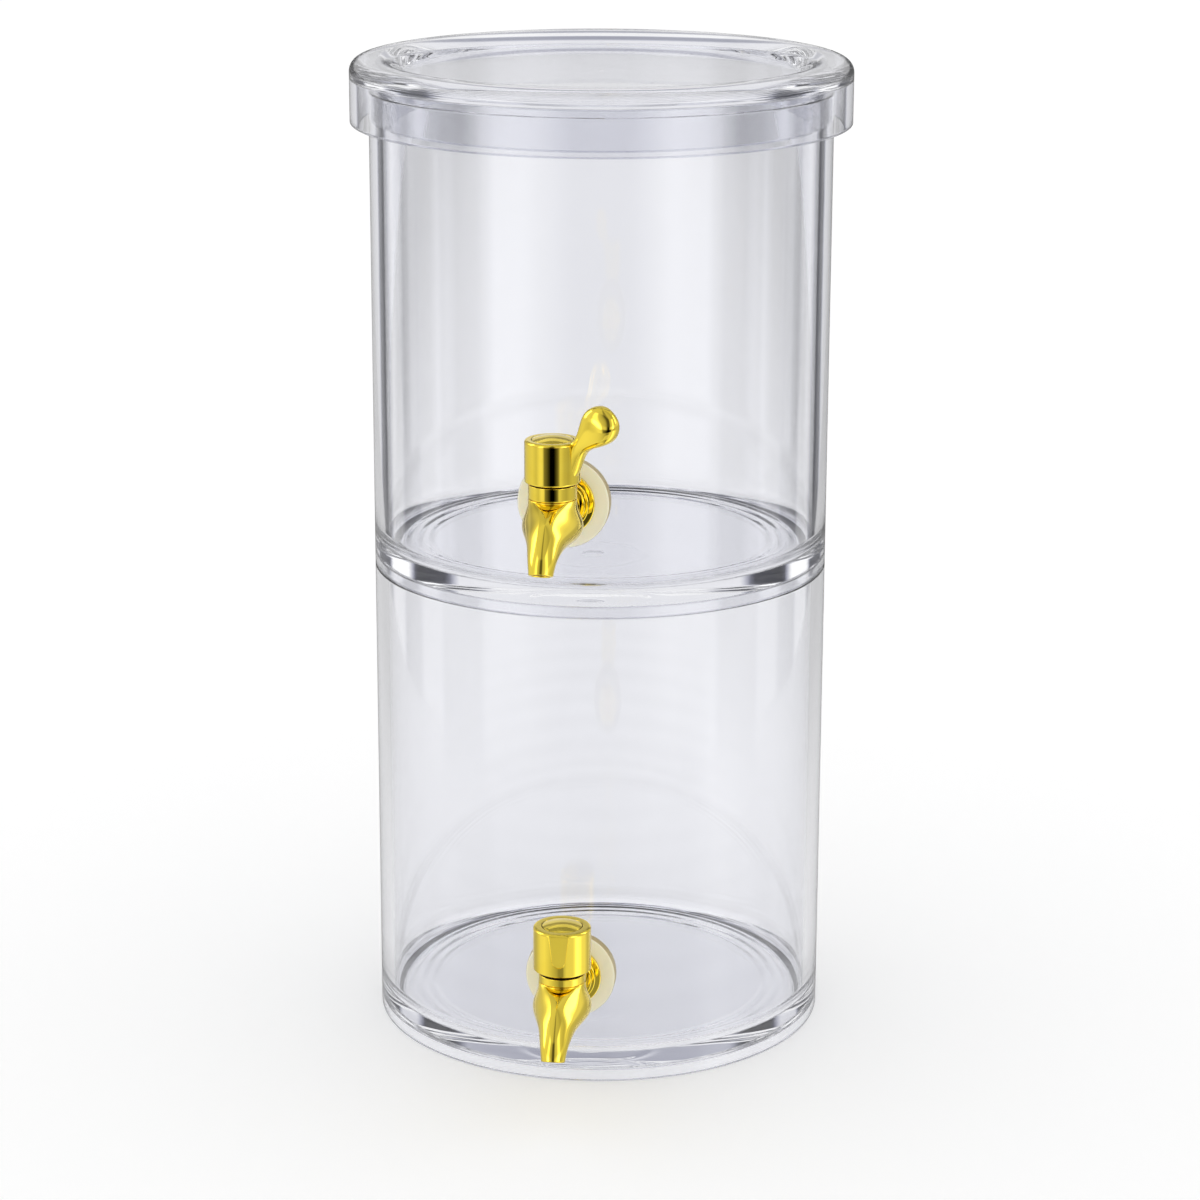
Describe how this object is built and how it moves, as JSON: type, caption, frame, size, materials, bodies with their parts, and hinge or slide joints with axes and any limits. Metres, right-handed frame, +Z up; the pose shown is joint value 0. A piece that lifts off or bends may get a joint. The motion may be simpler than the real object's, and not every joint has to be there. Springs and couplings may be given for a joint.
{
  "type": "stackable beverage dispenser",
  "caption": "Stack of clear nesting drink tanks with a plug lid, each with a gold quarter-turn tap on its front: a lever tap above and a round-knob tap below.",
  "frame": {"origin": "centre of the lower tank's foot ring, on the surface that the dispenser stands on", "axes": "+Z up along the tanks' common axis, -Y towards the front, where the lower tap is"},
  "size_m": [0.2228, 0.2812, 0.4442],
  "materials": {
    "clear_acrylic": "clear polished acrylic",
    "gold_metal": "polished gold plating",
    "cream_silicone": "satin silicone",
    "steel": "plain",
    "black_rubber": "matt"
  },
  "bodies": {
    "lower_tier": {"lower_tank": "clear_acrylic", "lower_tap_body": "gold_metal", "lower_tap_bonnet": "gold_metal", "lower_outer_washer": "cream_silicone", "lower_inner_washer": "cream_silicone", "lower_lock_nut": "gold_metal"},
    "lower_valve": {"lower_valve_plug": "gold_metal", "lower_plug_o_rings": "black_rubber", "lower_knob": "gold_metal", "lower_knob_screw": "steel", "lower_knob_cap": "gold_metal"},
    "upper_tier": {"upper_tank": "clear_acrylic", "upper_tap_body": "gold_metal", "upper_tap_bonnet": "gold_metal", "upper_outer_washer": "cream_silicone", "upper_inner_washer": "cream_silicone", "upper_lock_nut": "gold_metal"},
    "upper_valve": {"upper_valve_plug": "gold_metal", "upper_plug_o_rings": "black_rubber", "upper_knob": "gold_metal", "upper_knob_screw": "steel", "upper_knob_cap": "gold_metal"},
    "lid": {"lid": "clear_acrylic"}
  },
  "joints": [
    {"name": "lower_tap_turn", "type": "hinge", "parent": "lower_tier", "child": "lower_valve", "pos_m": [0, -0.135, 0.0525], "axis": [0, 0, 1], "range_deg": [-90, 0]},
    {"name": "upper_tier_lift", "type": "slide", "parent": "lower_tier", "child": "upper_tier", "axis": [0, 0, 1], "range_m": [0, 0.06]},
    {"name": "upper_tap_turn", "type": "hinge", "parent": "upper_tier", "child": "upper_valve", "pos_m": [-0.004, -0.13494, 0.2685], "axis": [0, 0, 1], "range_deg": [-68, 22]},
    {"name": "lid_lift", "type": "slide", "parent": "upper_tier", "child": "lid", "axis": [0, 0, 1], "range_m": [0, 0.06]}
  ]
}
